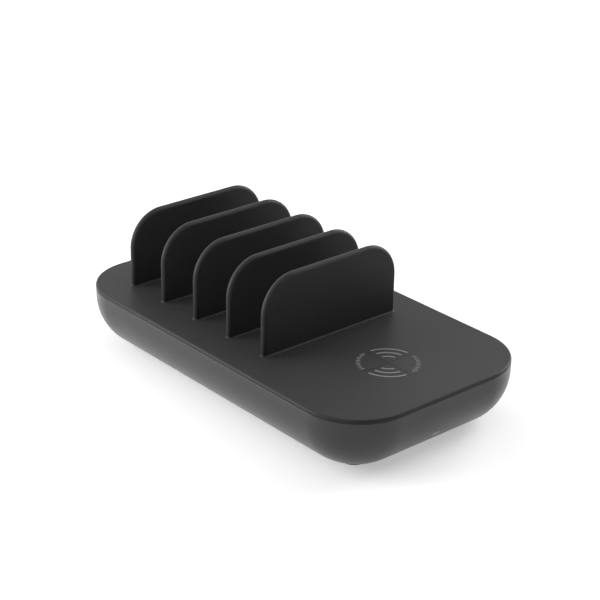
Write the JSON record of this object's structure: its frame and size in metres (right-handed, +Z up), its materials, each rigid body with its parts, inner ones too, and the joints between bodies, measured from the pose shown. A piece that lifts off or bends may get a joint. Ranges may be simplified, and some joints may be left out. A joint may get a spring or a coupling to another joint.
{
  "type": "wireless charging stand",
  "caption": "Low rounded desk charging stand with upright dividers for phones and tablets and a flat wireless charging pad in front.",
  "frame": {"origin": "middle of the base's footprint, on the surface that the feet stand on", "axes": "+Z up; +Y along the base, from the pad end to the last divider; +X towards the outlets' side"},
  "size_m": [0.1168, 0.21, 0.0708],
  "materials": {
    "cover_plastic": "soft-touch matte, fine even grain",
    "shell_plastic": "satin, fine moulded grain",
    "print_ink": "matte pale grey print",
    "lens_plastic": "translucent white light guide",
    "led_plastic": "milky resin",
    "board_laminate": "green solder mask",
    "outlet_metal": "bright nickel plate",
    "outlet_plastic": "black moulded, fine grain",
    "capacitor_sleeve": "shrunk sleeve",
    "capacitor_can": "bright drawn can",
    "inductor_core": "pressed powder, dull",
    "chip_resin": "moulded resin",
    "socket_plastic": "cream moulded plastic",
    "ribbon_film": "laminated film",
    "coil_copper": "enamelled copper wire",
    "ferrite": "dull sintered sheet",
    "carrier_aluminium": "plain rolled",
    "foot_rubber": "matte, fine grain",
    "case_screw_steel": "black oxide",
    "small_screw_steel": "bright zinc plate"
  },
  "bodies": {
    "root": {"top_cover": "cover_plastic", "lower_shell": "shell_plastic", "pad_mark": "print_ink", "indicator_lens": "lens_plastic", "indicator_led": "led_plastic", "main_board": "board_laminate", "pad_board": "board_laminate", "wide_outlet_shell_1": "outlet_metal", "wide_outlet_shell_2": "outlet_metal", "oval_outlet_shell_1": "outlet_metal", "oval_outlet_shell_2": "outlet_metal", "wide_outlet_insert_1": "outlet_plastic", "wide_outlet_insert_2": "outlet_plastic", "oval_outlet_insert_1": "outlet_plastic", "oval_outlet_insert_2": "outlet_plastic", "power_inlet_housing": "outlet_plastic", "power_inlet_pin": "outlet_metal", "input_capacitor_1": "capacitor_sleeve", "input_capacitor_2": "capacitor_sleeve", "output_capacitor_1": "capacitor_can", "output_capacitor_2": "capacitor_can", "output_capacitor_3": "capacitor_can", "output_capacitor_4": "capacitor_can", "inductor_1": "inductor_core", "inductor_2": "inductor_core", "inductor_3": "inductor_core", "inductor_4": "inductor_core", "control_chips": "chip_resin", "pad_chips": "chip_resin", "main_link_socket": "socket_plastic", "pad_link_socket": "socket_plastic", "link_ribbon": "ribbon_film", "charging_coil": "coil_copper", "ferrite_sheet": "ferrite", "coil_carrier": "carrier_aluminium", "front_left_foot": "foot_rubber", "front_right_foot": "foot_rubber", "rear_left_foot": "foot_rubber", "rear_right_foot": "foot_rubber", "case_screws": "case_screw_steel", "board_screws": "small_screw_steel", "carrier_screws": "small_screw_steel"}
  },
  "joints": []
}
